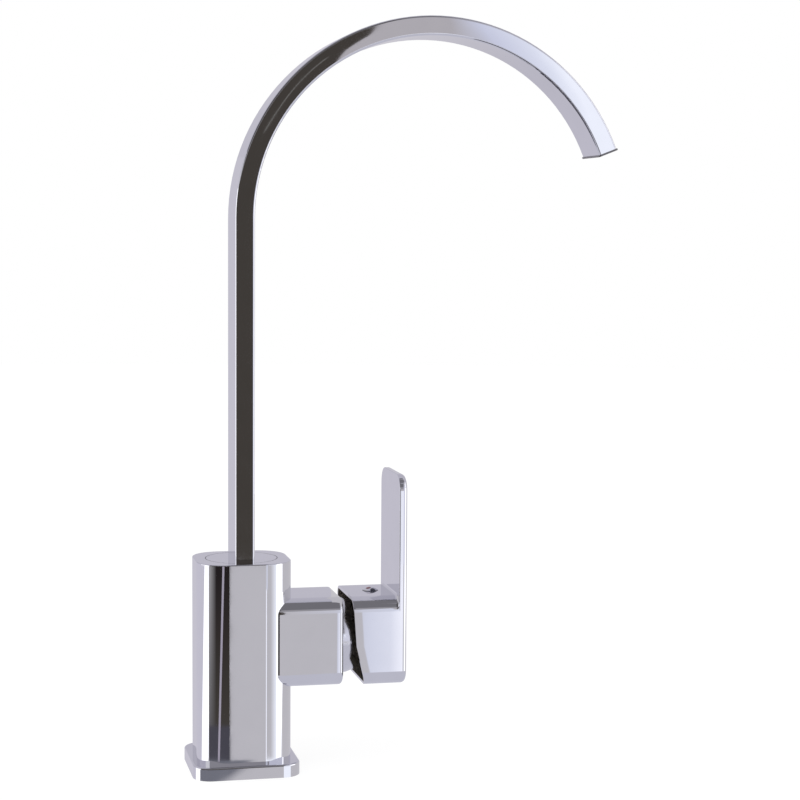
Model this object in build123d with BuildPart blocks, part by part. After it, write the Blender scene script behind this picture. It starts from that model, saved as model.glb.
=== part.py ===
from build123d import *
from math import asin, cos, degrees
import os

# Three way filtered water tap: a single lever mixer with a flat gooseneck spout.
# Millimetres. z = 0 is the face on the worktop and +Z is up. The spout swivels about
# the Z axis, the cartridge lies along +X at the lever side, and -Y is the front.

# ---------------------------------------------------------------- driving dimensions

# base plate and body
plate_size = 53.0            # square base plate, side
plate_corner = 9.2
plate_thickness = 6.5
plate_bore = 34.0            # passes the body's spigot
plate_edge = 0.9             # round on the plate's top edge
seal_groove_radius = 19.6    # inner radius of the groove under the plate
seal_groove_width = 3.0
seal_groove_depth = 1.6
seal_clearance = 0.1
body_width = 47.0
body_depth = 44.4
body_corner = 14.5
body_top_height = 105.6
body_edge = 0.5
spigot_clearance = 0.3

# supply ports and stud in the underside
port_circle = 10.0           # radius of the circle that the four holes stand on
port_radius = 4.5            # tapping size of M10x1
port_depth = 12.0
stud_radius = 3.4            # tapping size of M8
stud_depth = 16.0
waterway_radius = 2.6

# spout
tube_thickness = 9.7         # in the plane of the arch
tube_width = 27.5            # across it
tube_wall = 1.2
tube_corner = 1.1
arch_radius = 95.2           # centre line
arch_spring_height = 274.0   # where the straight column ends
arch_sweep = 158.6           # degrees from the column to the outlet

# swivel joint
collar_radius = 17.7
collar_thickness = 2.0
collar_gap = 0.3
flange_thickness = 2.5
slide_ring_thickness = 1.0
nipple_radius = 11.0
nipple_gap = 0.15
nipple_length = 21.5         # below the slide ring
nipple_end_gap = 0.5
ring_section = 0.9           # section radius of the two large O-rings
ring_set = 0.1               # how far a ring's outside stands inside its bore
ring_pitch = 12.0            # distance between the two large O-rings
lock_groove_width = 5.0
lock_groove_depth = 1.7
centre_spigot_radius = 3.9
centre_spigot_length = 3.4
centre_spigot_gap = 0.2
centre_ring_section = 0.6
mixed_hole_offset = 6.6
mixed_hole_radius = 2.0
filtered_tube_radius = 3.0
filtered_tube_bore = 2.0
filtered_tube_seat = 5.0     # how far the small tube enters the nipple

# outlet
rim_overhang = 0.5
rim_thickness = 0.9
insert_length = 9.0
insert_gap = 0.15
outlet_slot_count = 3        # slots each side of the filtered water port
outlet_slot_width = 1.4
outlet_slot_length = 5.2
outlet_slot_pitch = 2.7
nozzle_length = 4.0          # inside the insert
nozzle_rise = 0.5            # beyond the rim

# cartridge housing and lever block
axis_height = 64.9
housing_height = 44.1
housing_inset = 1.4          # the housing's front and back lie this far inside the body's
housing_end = 48.2
long_edge_round = 7.0
housing_end_round = 1.8
cartridge_bore = 18.0
seat_x = 18.5                # floor of the bore, inside the body
nut_bore = 19.0              # radius of the thread in the housing
mouth_bore = 19.7
pivot_x = 47.5               # the lever's tilt axis, centre of the dome

# cartridge
cartridge_radius = 17.5
cartridge_wall = 1.9
neck_radius = 15.0
neck_bore = 13.0
neck_end = 51.5
base_gap = 0.3               # base to seat, taken up by the seals
base_thickness = 5.0
fixed_disc_radius = 13.5
fixed_disc_thickness = 3.0
moving_disc_radius = 10.0
moving_disc_thickness = 3.5
disc_film = 0.05             # between the two ceramic discs
driver_radius = 9.5
driver_thickness = 6.1
driver_gap = 0.4
rotor_base_thickness = 2.6
rotor_gap = 0.1
rotor_slot_width = 8.3
rotor_slot_low = 8.0
rotor_slot_high = 9.5
nut_thickness = 4.4
nut_clearance = 0.1
nut_slots = 6
dome_radius = 19.3
dome_opening = 14.6          # radius of the hole that the lever's hub moves in
seat_holes = {               # (y, z) on the seat, from the cartridge axis
    "hot": (10.0, -6.0),
    "cold": (-10.0, -6.0),
    "filtered_in": (0.0, -4.0),
    "mixed_out": (6.5, 6.0),
    "filtered_out": (0.0, 9.0),
}
port_seal_width = 0.9

# spindle, pin and lever
spindle_size = 8.0
spindle_length = 22.0        # beyond the pivot
spindle_heel = 4.5           # square part behind the pivot
arm_radius = 2.4
arm_length = 11.5            # pivot to ball
ball_radius = 3.0
ball_gap = 0.3
pin_radius = 1.5
pin_gap = 0.05
lever_tilt = 25.0            # degrees, closed to fully open
block_size = 44.4
block_wall = 1.7
block_mouth_top = 52.7       # x of the rim at the top face
block_mouth_knee = 54.4      # x of the rim where the relief starts
block_knee_drop = 2.0        # the knee lies this far below the axis
block_mouth_bottom = 59.2    # x of the rim at the bottom face
blade_inner = 75.9
blade_thickness = 4.1
blade_top_height = 147.8
blade_top_corner = 8.0
blade_outer_round = 2.2
blade_inner_round = 0.4
hub_radius = 7.0
hub_start = 10.0             # from the pivot
hub_fit = 0.1
cavity_clearance = 0.7       # beyond the dome
screw_x = 65.7
screw_boss_radius = 5.0
screw_radius = 2.5
screw_length = 6.0
screw_key_radius = 1.25
screw_key_depth = 2.5
plug_radius = 4.1
plug_shank_radius = 3.0
plug_shank_length = 3.5
plug_rise = 1.7

# worked out from the sizes above
collar_bottom = body_top_height - collar_thickness
flange_bottom = collar_bottom - flange_thickness
recess_floor = flange_bottom - slide_ring_thickness
nipple_bottom = recess_floor - nipple_length
socket_floor = nipple_bottom - nipple_end_gap
socket_radius = nipple_radius + nipple_gap
spigot_bottom = nipple_bottom - centre_spigot_length
spigot_socket_radius = centre_spigot_radius + centre_spigot_gap
lock_height = recess_floor - nipple_length / 2
ring_heights = (lock_height + ring_pitch / 2, lock_height - ring_pitch / 2)
ring_centre_radius = socket_radius - ring_set - ring_section
ring_groove_floor = ring_centre_radius - ring_section - ring_set
centre_ring_height = nipple_bottom - centre_spigot_length / 2
centre_ring_radius = spigot_socket_radius - ring_set - centre_ring_section
centre_ring_floor = centre_ring_radius - centre_ring_section - ring_set
lock_groove_floor = nipple_radius - lock_groove_depth
tube_inner_thickness = tube_thickness - 2 * tube_wall
tube_inner_width = tube_width - 2 * tube_wall
axis_point = (0, 0, axis_height)
base_x = seat_x + base_gap
disc_seat_x = base_x + base_thickness
disc_face_x = disc_seat_x + fixed_disc_thickness
driver_x = disc_face_x + disc_film + moving_disc_thickness
driver_top_x = driver_x + driver_thickness
rotor_x = driver_top_x + driver_gap
shoulder_x = rotor_x + rotor_base_thickness + rotor_gap
step_x = shoulder_x + cartridge_wall
nut_end_x = step_x + nut_thickness
block_half = block_size / 2
cavity_half = block_half - block_wall
cavity_end = pivot_x + dome_radius + cavity_clearance
hub_x = pivot_x + hub_start
housing_depth = body_depth - 2 * housing_inset
block_bottom = axis_height - block_half
block_top = axis_height + block_half


def square_block(depth, height, x0, x1):
    """A bar with rounded long edges, along X on the cartridge axis."""
    with BuildSketch(Plane.YZ.offset(x0)) as section:
        with Locations((0, axis_height)):
            RectangleRounded(depth, height, long_edge_round)
    return extrude(section.sketch, x1 - x0, mode=Mode.PRIVATE)


def turned(points):
    """A ring turned about the cartridge axis from a closed outline of (x, radius)."""
    with BuildSketch(Plane.XZ) as section:
        with BuildLine():
            Polyline(*[(x, axis_height + r) for x, r in points], close=True)
        make_face()
    return revolve(section.sketch, Axis(axis_point, (1, 0, 0)), 360, mode=Mode.PRIVATE)


def squeezed_ring(height, radius, section):
    """An O-ring in its groove, squeezed flat between the groove's floor and the bore."""
    with BuildSketch(Plane.XZ) as ring:
        with Locations((radius, height)):
            Rectangle(2 * section, 2 * section)
        chamfer(ring.vertices(), section * 0.6)
    return revolve(ring.sketch, Axis.Z, 360, mode=Mode.PRIVATE)


def body_outline():
    """The body's section: flat sides and generous corners."""
    with BuildSketch() as outline:
        RectangleRounded(body_width, body_depth, body_corner)
    return outline.sketch


def spout_path(start_height, before_outlet=0.0):
    """The spout's centre line, from a height on the column to a distance before the outlet."""
    with BuildLine(Plane.XZ) as path:
        Line((0, start_height), (0, arch_spring_height))
        CenterArc(
            (arch_radius, arch_spring_height),
            arch_radius,
            180,
            degrees(before_outlet / arch_radius) - arch_sweep,
        )
    return path.line


def outlet_path(length):
    """The last stretch of the spout's centre line."""
    turn = degrees(length / arch_radius)
    with BuildLine(Plane.XZ) as path:
        CenterArc((arch_radius, arch_spring_height), arch_radius, 180 - arch_sweep + turn, -turn)
    return path.line


def across(path, place):
    """The plane square to a path at its start (0) or end (1), its x axis along +Y."""
    return Plane(origin=path @ place, x_dir=(0, 1, 0), z_dir=path % place)


# ---------------------------------------------------------------- base plate and seal

with BuildPart() as base_plate:
    with BuildSketch():
        RectangleRounded(plate_size, plate_size, plate_corner)
    extrude(amount=plate_thickness)
    fillet(base_plate.faces().sort_by(Axis.Z)[-1].edges(), plate_edge)
    with BuildSketch():
        Circle(plate_bore / 2)
    extrude(amount=plate_thickness, mode=Mode.SUBTRACT)
    with BuildSketch():
        Circle(seal_groove_radius + seal_groove_width)
        Circle(seal_groove_radius, mode=Mode.SUBTRACT)
    extrude(amount=seal_groove_depth, mode=Mode.SUBTRACT)

with BuildPart() as base_seal:
    with BuildSketch():
        Circle(seal_groove_radius + seal_groove_width - seal_clearance)
        Circle(seal_groove_radius + seal_clearance, mode=Mode.SUBTRACT)
    extrude(amount=seal_groove_depth)

# ---------------------------------------------------------------- body

port_places = {
    "hot": (0.0, port_circle),
    "cold": (0.0, -port_circle),
    "filtered": (port_circle, 0.0),
    "stud": (-port_circle, 0.0),
}
# each supply bore rises to the height of its hole in the cartridge seat
supply_rises = {
    "hot": seat_holes["hot"][1],
    "cold": seat_holes["cold"][1],
    "filtered": seat_holes["filtered_in"][1],
}

with BuildPart() as body:
    with BuildSketch(Plane.XY.offset(plate_thickness)):
        add(body_outline())
    extrude(amount=body_top_height - plate_thickness)
    fillet(body.faces().sort_by(Axis.Z)[-1].edges(), body_edge)
    with BuildSketch():
        Circle(plate_bore / 2 - spigot_clearance)
    extrude(amount=plate_thickness)
    # recess for collar, flange and slide ring, and the socket of the swivel
    with BuildSketch(Plane.XY.offset(recess_floor)):
        Circle(collar_radius + collar_gap)
    extrude(amount=body_top_height - recess_floor, mode=Mode.SUBTRACT)
    with BuildSketch(Plane.XY.offset(socket_floor)):
        Circle(socket_radius)
    extrude(amount=recess_floor - socket_floor, mode=Mode.SUBTRACT)
    # bore of the cartridge, entered from the lever side
    with BuildSketch(Plane.YZ.offset(seat_x)):
        with Locations((0, axis_height)):
            Circle(cartridge_bore)
    extrude(amount=body_width / 2, mode=Mode.SUBTRACT)
    # underside: three supply ports and the stud hole
    for name in ("hot", "cold", "filtered"):
        with BuildSketch():
            with Locations(port_places[name]):
                Circle(port_radius)
        extrude(amount=port_depth, mode=Mode.SUBTRACT)
        with BuildSketch():
            with Locations(port_places[name]):
                Circle(waterway_radius)
        extrude(amount=axis_height + supply_rises[name], mode=Mode.SUBTRACT)
    with BuildSketch():
        with Locations(port_places["stud"]):
            Circle(stud_radius)
    extrude(amount=stud_depth, mode=Mode.SUBTRACT)
    # level bores from the seat to the risers
    level_starts = {
        "hot": port_places["hot"][0],
        "cold": port_places["cold"][0],
        "filtered_in": port_places["filtered"][0],
        "mixed_out": spigot_socket_radius,
        "filtered_out": 0.0,
    }
    for name, start in level_starts.items():
        y, z = seat_holes[name]
        with BuildSketch(Plane.YZ.offset(start)):
            with Locations((y, axis_height + z)):
                Circle(waterway_radius)
        extrude(amount=seat_x - start, mode=Mode.SUBTRACT)
    # risers from the cartridge to the swivel: mixed water beside the centre, filtered in it
    with BuildSketch(Plane.XY.offset(axis_height + seat_holes["mixed_out"][1])):
        with Locations((spigot_socket_radius, seat_holes["mixed_out"][0])):
            Circle(waterway_radius)
    extrude(amount=socket_floor - axis_height - seat_holes["mixed_out"][1], mode=Mode.SUBTRACT)
    with BuildSketch(Plane.XY.offset(axis_height + seat_holes["filtered_out"][1])):
        Circle(waterway_radius)
    extrude(amount=socket_floor - axis_height - seat_holes["filtered_out"][1], mode=Mode.SUBTRACT)
    with BuildSketch(Plane.XY.offset(spigot_bottom - nipple_end_gap)):
        Circle(spigot_socket_radius)
    extrude(amount=socket_floor - spigot_bottom + nipple_end_gap, mode=Mode.SUBTRACT)
    # tapped hole at the back for the screw that keeps the spout down
    with BuildSketch(Plane.XZ.offset(-body_depth / 2)):
        with Locations((0, lock_height)):
            Circle(screw_radius)
    extrude(amount=body_depth / 2, mode=Mode.SUBTRACT)

# ---------------------------------------------------------------- cartridge housing

with BuildPart() as cartridge_housing:
    add(square_block(housing_depth, housing_height, 0, housing_end))
    fillet(cartridge_housing.faces().sort_by(Axis.X)[-1].edges(), housing_end_round)
    with BuildSketch(Plane.XY.offset(plate_thickness)):
        add(body_outline())
        with Locations((-body_width / 4, 0)):
            Rectangle(body_width / 2, body_depth)
    extrude(amount=body_top_height, mode=Mode.SUBTRACT)
    for radius, start in ((cartridge_bore, 0), (nut_bore, step_x), (mouth_bore, nut_end_x)):
        with BuildSketch(Plane.YZ.offset(start)):
            with Locations((0, axis_height)):
                Circle(radius)
        extrude(amount=housing_end - start, mode=Mode.SUBTRACT)

# ---------------------------------------------------------------- cartridge, fixed pieces

with BuildPart() as cartridge_base:
    with BuildSketch(Plane.YZ.offset(base_x)):
        with Locations((0, axis_height)):
            Circle(cartridge_radius)
        for y, z in seat_holes.values():
            with Locations((y, axis_height + z)):
                Circle(waterway_radius, mode=Mode.SUBTRACT)
    extrude(amount=base_thickness)

with BuildPart() as port_seals:
    with BuildSketch(Plane.YZ.offset(seat_x)):
        for y, z in seat_holes.values():
            with Locations((y, axis_height + z)):
                Circle(waterway_radius + port_seal_width)
        for y, z in seat_holes.values():
            with Locations((y, axis_height + z)):
                Circle(waterway_radius, mode=Mode.SUBTRACT)
    extrude(amount=base_gap)

with BuildPart() as fixed_disc:
    with BuildSketch(Plane.YZ.offset(disc_seat_x)):
        with Locations((0, axis_height)):
            Circle(fixed_disc_radius)
        for y, z in seat_holes.values():
            with Locations((y * 0.8, axis_height + z * 0.8)):
                Circle(waterway_radius * 0.8, mode=Mode.SUBTRACT)
    extrude(amount=fixed_disc_thickness)

with BuildPart() as cartridge_body:
    add(turned([
        (disc_seat_x, cartridge_radius - cartridge_wall),
        (disc_seat_x, cartridge_radius),
        (step_x, cartridge_radius),
        (step_x, neck_radius),
        (neck_end, neck_radius),
        (neck_end, neck_bore),
        (shoulder_x, neck_bore),
        (shoulder_x, cartridge_radius - cartridge_wall),
    ]))

with BuildPart() as cartridge_nut:
    add(turned([
        (step_x, neck_radius + nut_clearance),
        (step_x, nut_bore - nut_clearance),
        (nut_end_x, nut_bore - nut_clearance),
        (nut_end_x, neck_radius + nut_clearance),
    ]))
    with BuildSketch(Plane.YZ.offset(nut_end_x)):
        with Locations((0, axis_height)):
            with PolarLocations(nut_bore, nut_slots):
                Rectangle(nut_bore - neck_radius, nut_thickness / 2)
    extrude(amount=-nut_thickness / 2, mode=Mode.SUBTRACT)

dome_neck = neck_radius + nut_clearance
dome_lip = asin(dome_opening / dome_radius)
dome_end_x = pivot_x + dome_radius * cos(dome_lip)

with BuildPart() as cartridge_dome:
    with BuildSketch(Plane.XZ):
        with BuildLine():
            crown = CenterArc(
                (pivot_x, axis_height), dome_radius, degrees(dome_lip), 90 - degrees(dome_lip)
            )
            Polyline(
                crown @ 1,
                (nut_end_x, axis_height + dome_radius),
                (nut_end_x, axis_height + dome_neck),
                (neck_end + nut_clearance, axis_height + dome_neck),
                (neck_end + nut_clearance, axis_height + dome_opening),
                (dome_end_x, axis_height + dome_opening),
            )
        make_face()
    revolve(axis=Axis(axis_point, (1, 0, 0)))

# ---------------------------------------------------------------- cartridge, moving pieces

with BuildPart() as cartridge_rotor:
    add(turned([
        (rotor_x, 0),
        (rotor_x, cartridge_radius - cartridge_wall - 2 * rotor_gap),
        (rotor_x + rotor_base_thickness, cartridge_radius - cartridge_wall - 2 * rotor_gap),
        (rotor_x + rotor_base_thickness, neck_bore - rotor_gap),
        (neck_end, neck_bore - rotor_gap),
        (neck_end, 0),
    ]))
    with BuildSketch(Plane.YZ.offset(rotor_x)):
        with Locations((0, axis_height + (rotor_slot_high - rotor_slot_low) / 2)):
            Rectangle(rotor_slot_width, rotor_slot_high + rotor_slot_low)
    extrude(amount=neck_end - rotor_x, mode=Mode.SUBTRACT)
    with BuildSketch(Plane.XZ):
        with Locations((pivot_x, axis_height)):
            Circle(pin_radius)
    extrude(amount=neck_bore, both=True, mode=Mode.SUBTRACT)

pin_length = 2 * (neck_bore - 4 * rotor_gap)

with BuildPart() as pivot_pin:
    with BuildSketch(Plane.XZ):
        with Locations((pivot_x, axis_height)):
            Circle(pin_radius)
    extrude(amount=pin_length / 2, both=True)

with BuildPart() as moving_disc:
    with BuildSketch(Plane.YZ.offset(disc_face_x + disc_film)):
        with Locations((0, axis_height)):
            Circle(moving_disc_radius)
    extrude(amount=moving_disc_thickness)
    # the hollow on its lower face joins the inlets to the outlet
    with BuildSketch(Plane.YZ.offset(disc_face_x + disc_film)):
        with Locations((0, axis_height + moving_disc_radius / 5)):
            SlotOverall(moving_disc_radius * 1.3, moving_disc_radius * 0.7)
    extrude(amount=moving_disc_thickness / 2, mode=Mode.SUBTRACT)

ball_x = pivot_x - arm_length

with BuildPart() as disc_driver:
    with BuildSketch(Plane.YZ.offset(driver_x)):
        with Locations((0, axis_height)):
            Circle(driver_radius)
    extrude(amount=driver_thickness)
    with BuildSketch(Plane.YZ.offset(ball_x - ball_radius - ball_gap)):
        with Locations((0, axis_height)):
            Circle(ball_radius + ball_gap)
    extrude(amount=driver_top_x - ball_x + ball_radius + ball_gap, mode=Mode.SUBTRACT)

with BuildPart() as spindle:
    with BuildSketch(Plane.YZ.offset(pivot_x - spindle_heel)):
        with Locations((0, axis_height)):
            Rectangle(spindle_size, spindle_size)
    extrude(amount=spindle_heel + spindle_length)
    chamfer(spindle.faces().sort_by(Axis.X)[-1].edges(), spindle_size / 8)
    with BuildSketch(Plane.YZ.offset(ball_x)):
        with Locations((0, axis_height)):
            Circle(arm_radius)
    extrude(amount=arm_length - spindle_heel)
    with Locations((ball_x, 0, axis_height)):
        Sphere(ball_radius)
    with BuildSketch(Plane.XZ):
        with Locations((pivot_x, axis_height)):
            Circle(pin_radius + pin_gap)
    extrude(amount=spindle_size, both=True, mode=Mode.SUBTRACT)

# ---------------------------------------------------------------- lever

knee_height = axis_height - block_knee_drop
plug_seat_radius = plug_shank_radius + hub_fit
screw_foot = axis_height + spindle_size / 2

# the upright blade is part of the lever's casting
with BuildPart() as blade:
    with BuildSketch(Plane.YZ.offset(blade_inner)) as blade_outline:
        with Locations((0, (blade_top_height + block_bottom) / 2)):
            Rectangle(block_size, blade_top_height - block_bottom)
        fillet(blade_outline.vertices().group_by(Axis.Y)[-1], blade_top_corner)
        fillet(blade_outline.vertices().group_by(Axis.Y)[0], long_edge_round)
    extrude(amount=blade_thickness)
    fillet(blade.faces().sort_by(Axis.X)[-1].edges(), blade_outer_round)
    fillet(blade.faces().sort_by(Axis.X)[0].edges(), blade_inner_round)

with BuildPart() as lever_handle:
    # the blade closes the block's end and rises above it
    add(square_block(block_size, block_size, block_mouth_top, blade_inner + blade_inner_round))
    add(blade.part)
    # relief of the rim, so that the block can tip down without touching the housing
    with BuildSketch(Plane.XZ):
        with BuildLine():
            Polyline(
                (block_mouth_top - block_wall, block_top + block_wall),
                (block_mouth_top, block_top + block_wall),
                (block_mouth_top, block_top),
                (block_mouth_knee, knee_height),
                (block_mouth_bottom, block_bottom),
                (block_mouth_bottom, block_bottom - block_wall),
                (block_mouth_top - block_wall, block_bottom - block_wall),
                close=True,
            )
        make_face()
    extrude(amount=block_size, both=True, mode=Mode.SUBTRACT)
    # hollow that goes over the dome
    with BuildSketch(Plane.YZ.offset(block_mouth_top)):
        with Locations((0, axis_height)):
            RectangleRounded(2 * cavity_half, 2 * cavity_half, long_edge_round - block_wall)
    extrude(amount=cavity_end - block_mouth_top, mode=Mode.SUBTRACT)
    # hub with its square hole for the spindle, and the boss of the grub screw
    with BuildSketch(Plane.YZ.offset(hub_x)):
        with Locations((0, axis_height)):
            Circle(hub_radius)
    extrude(amount=blade_inner - hub_x)
    with BuildSketch(Plane.XY.offset(axis_height)):
        with Locations((screw_x, 0)):
            Circle(screw_boss_radius)
    extrude(amount=block_half - block_wall / 2)
    with BuildSketch(Plane.YZ.offset(hub_x)):
        with Locations((0, axis_height)):
            Rectangle(spindle_size + 2 * hub_fit, spindle_size + 2 * hub_fit)
    extrude(amount=pivot_x + spindle_length + hub_fit - hub_x, mode=Mode.SUBTRACT)
    with BuildSketch(Plane.XY.offset(axis_height)):
        with Locations((screw_x, 0)):
            Circle(screw_radius)
    extrude(amount=block_half, mode=Mode.SUBTRACT)
    with BuildSketch(Plane.XY.offset(block_top - plug_shank_length - hub_fit)):
        with Locations((screw_x, 0)):
            Circle(plug_seat_radius)
    extrude(amount=plug_shank_length + hub_fit, mode=Mode.SUBTRACT)

with BuildPart() as lever_screw:
    with BuildSketch(Plane.XY.offset(screw_foot)):
        with Locations((screw_x, 0)):
            Circle(screw_radius)
    extrude(amount=screw_length)
    with BuildSketch(Plane.XY.offset(screw_foot + screw_length)):
        with Locations((screw_x, 0)):
            RegularPolygon(screw_key_radius, 6)
    extrude(amount=-screw_key_depth, mode=Mode.SUBTRACT)

# the plug's head is part of a ball that rises plug_rise above the lever's top
plug_ball = (plug_radius ** 2 + plug_rise ** 2) / (2 * plug_rise)

with BuildPart() as index_plug:
    with BuildSketch(Plane.XZ):
        with BuildLine():
            Line((screw_x, block_top), (screw_x + plug_radius, block_top))
            RadiusArc(
                (screw_x + plug_radius, block_top), (screw_x, block_top + plug_rise), -plug_ball
            )
            Line((screw_x, block_top + plug_rise), (screw_x, block_top))
        make_face()
    revolve(axis=Axis((screw_x, 0, 0), (0, 0, 1)))
    with BuildSketch(Plane.XY.offset(block_top)):
        with Locations((screw_x, 0)):
            Circle(plug_shank_radius)
    extrude(amount=-plug_shank_length)

# ---------------------------------------------------------------- spout

path = spout_path(collar_bottom)

with BuildPart() as spout_tube:
    with BuildSketch(Plane.XY.offset(collar_bottom)):
        RectangleRounded(tube_thickness, tube_width, tube_corner)
        Rectangle(tube_inner_thickness, tube_inner_width, mode=Mode.SUBTRACT)
    sweep(path=path)

with BuildPart() as spout_collar:
    with BuildSketch(Plane.XY.offset(collar_bottom)):
        Circle(collar_radius)
        RectangleRounded(tube_thickness, tube_width, tube_corner, mode=Mode.SUBTRACT)
    extrude(amount=collar_thickness)

with BuildPart() as swivel_nipple:
    with BuildSketch(Plane.XY.offset(flange_bottom)):
        Circle(collar_radius)
    extrude(amount=flange_thickness)
    with BuildSketch(Plane.XY.offset(nipple_bottom)):
        Circle(nipple_radius)
    extrude(amount=flange_bottom - nipple_bottom)
    with BuildSketch(Plane.XY.offset(spigot_bottom)):
        Circle(centre_spigot_radius)
    extrude(amount=nipple_bottom - spigot_bottom)
    # grooves of the three O-rings and of the locking screw
    grooves = [(z, 2 * (ring_section + ring_set), ring_groove_floor) for z in ring_heights]
    grooves.append((lock_height, lock_groove_width + 2 * ring_set, lock_groove_floor))
    grooves.append((centre_ring_height, 2 * (centre_ring_section + ring_set), centre_ring_floor))
    for height, width, floor in grooves:
        with BuildSketch(Plane.XY.offset(height - width / 2)):
            Circle(nipple_radius + nipple_gap)
            Circle(floor, mode=Mode.SUBTRACT)
        extrude(amount=width, mode=Mode.SUBTRACT)
    # filtered water in the centre, mixed water on each side
    with BuildSketch(Plane.XY.offset(spigot_bottom)):
        Circle(filtered_tube_bore)
    extrude(amount=collar_bottom - spigot_bottom, mode=Mode.SUBTRACT)
    with BuildSketch(Plane.XY.offset(nipple_bottom)):
        with GridLocations(0, 2 * mixed_hole_offset, 1, 2):
            Circle(mixed_hole_radius)
    extrude(amount=collar_bottom - nipple_bottom, mode=Mode.SUBTRACT)
    with BuildSketch(Plane.XY.offset(collar_bottom - filtered_tube_seat)):
        Circle(filtered_tube_radius + hub_fit)
    extrude(amount=filtered_tube_seat, mode=Mode.SUBTRACT)

with BuildPart() as swivel_o_rings:
    for height in ring_heights:
        add(squeezed_ring(height, ring_centre_radius, ring_section))

with BuildPart() as centre_o_ring:
    add(squeezed_ring(centre_ring_height, centre_ring_radius, centre_ring_section))

with BuildPart() as slide_ring:
    with BuildSketch(Plane.XY.offset(recess_floor)):
        Circle(collar_radius)
        Circle(socket_radius, mode=Mode.SUBTRACT)
    extrude(amount=slide_ring_thickness)

with BuildPart() as filtered_water_tube:
    with BuildSketch(Plane.XY.offset(collar_bottom - filtered_tube_seat)):
        Circle(filtered_tube_radius)
        Circle(filtered_tube_bore, mode=Mode.SUBTRACT)
    sweep(path=spout_path(collar_bottom - filtered_tube_seat, nozzle_length))

spout_screw_start = lock_groove_floor + nipple_gap

with BuildPart() as spout_screw:
    with BuildSketch(Plane.XZ.offset(-spout_screw_start)):
        with Locations((0, lock_height)):
            Circle(screw_radius)
    extrude(amount=-(body_depth / 2 - spout_screw_start - screw_key_depth / 2))
    with BuildSketch(Plane.XZ.offset(-(body_depth / 2 - screw_key_depth / 2))):
        with Locations((0, lock_height)):
            RegularPolygon(screw_key_radius, 6)
    extrude(amount=screw_key_depth, mode=Mode.SUBTRACT)

# ---------------------------------------------------------------- outlet

insert_path = outlet_path(insert_length)
nozzle_path = outlet_path(nozzle_length)
slot_offset = (tube_inner_width / 2 + filtered_tube_radius) / 2

with BuildPart() as outlet_insert:
    with BuildSketch(across(insert_path, 0)):
        Rectangle(tube_inner_width - 2 * insert_gap, tube_inner_thickness - 2 * insert_gap)
        with GridLocations(2 * slot_offset, 0, 2, 1):
            with GridLocations(outlet_slot_pitch, 0, outlet_slot_count, 1):
                Rectangle(outlet_slot_width, outlet_slot_length, mode=Mode.SUBTRACT)
        Circle(filtered_tube_radius + insert_gap, mode=Mode.SUBTRACT)
    sweep(path=insert_path)

with BuildPart() as filtered_nozzle:
    with BuildSketch(across(nozzle_path, 0)):
        Circle(filtered_tube_radius)
        Circle(filtered_tube_bore, mode=Mode.SUBTRACT)
    sweep(path=nozzle_path)
    with BuildSketch(across(nozzle_path, 1)):
        Circle(filtered_tube_radius)
        Circle(filtered_tube_bore, mode=Mode.SUBTRACT)
    extrude(amount=rim_thickness + nozzle_rise)

with BuildPart() as outlet_rim:
    with BuildSketch(across(path, 1)):
        RectangleRounded(
            tube_width + 2 * rim_overhang, tube_thickness + 2 * rim_overhang, tube_corner
        )
        Rectangle(tube_inner_width, tube_inner_thickness, mode=Mode.SUBTRACT)
    extrude(amount=rim_thickness)

# export: each finished piece under its own name
pieces = {
    "base_plate": base_plate,
    "base_seal": base_seal,
    "body": body,
    "cartridge_housing": cartridge_housing,
    "cartridge_base": cartridge_base,
    "port_seals": port_seals,
    "fixed_disc": fixed_disc,
    "cartridge_body": cartridge_body,
    "cartridge_nut": cartridge_nut,
    "cartridge_dome": cartridge_dome,
    "cartridge_rotor": cartridge_rotor,
    "pivot_pin": pivot_pin,
    "moving_disc": moving_disc,
    "disc_driver": disc_driver,
    "spindle": spindle,
    "lever_handle": lever_handle,
    "lever_screw": lever_screw,
    "index_plug": index_plug,
    "spout_tube": spout_tube,
    "spout_collar": spout_collar,
    "swivel_nipple": swivel_nipple,
    "swivel_o_rings": swivel_o_rings,
    "centre_o_ring": centre_o_ring,
    "slide_ring": slide_ring,
    "filtered_water_tube": filtered_water_tube,
    "spout_screw": spout_screw,
    "outlet_insert": outlet_insert,
    "filtered_nozzle": filtered_nozzle,
    "outlet_rim": outlet_rim,
}
os.makedirs("parts", exist_ok=True)
for label, piece in pieces.items():
    piece.part.label = label
    export_step(piece.part, f"parts/{label}.step")
    print(label, round(piece.part.volume, 1))
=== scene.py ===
# %% [markdown]
# # A chrome three way kitchen tap
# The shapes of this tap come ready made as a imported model, the frame. This lesson gives
# them their looks: the view, the light that chrome needs, the finishes, and the one small
# piece that a turned or cast solid leaves out. The frame is loaded first, and its size
# is kept, so that nothing added later makes the tap larger.

# %% Load the frame
import math

import bpy
from mathutils import Matrix, Vector


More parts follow.
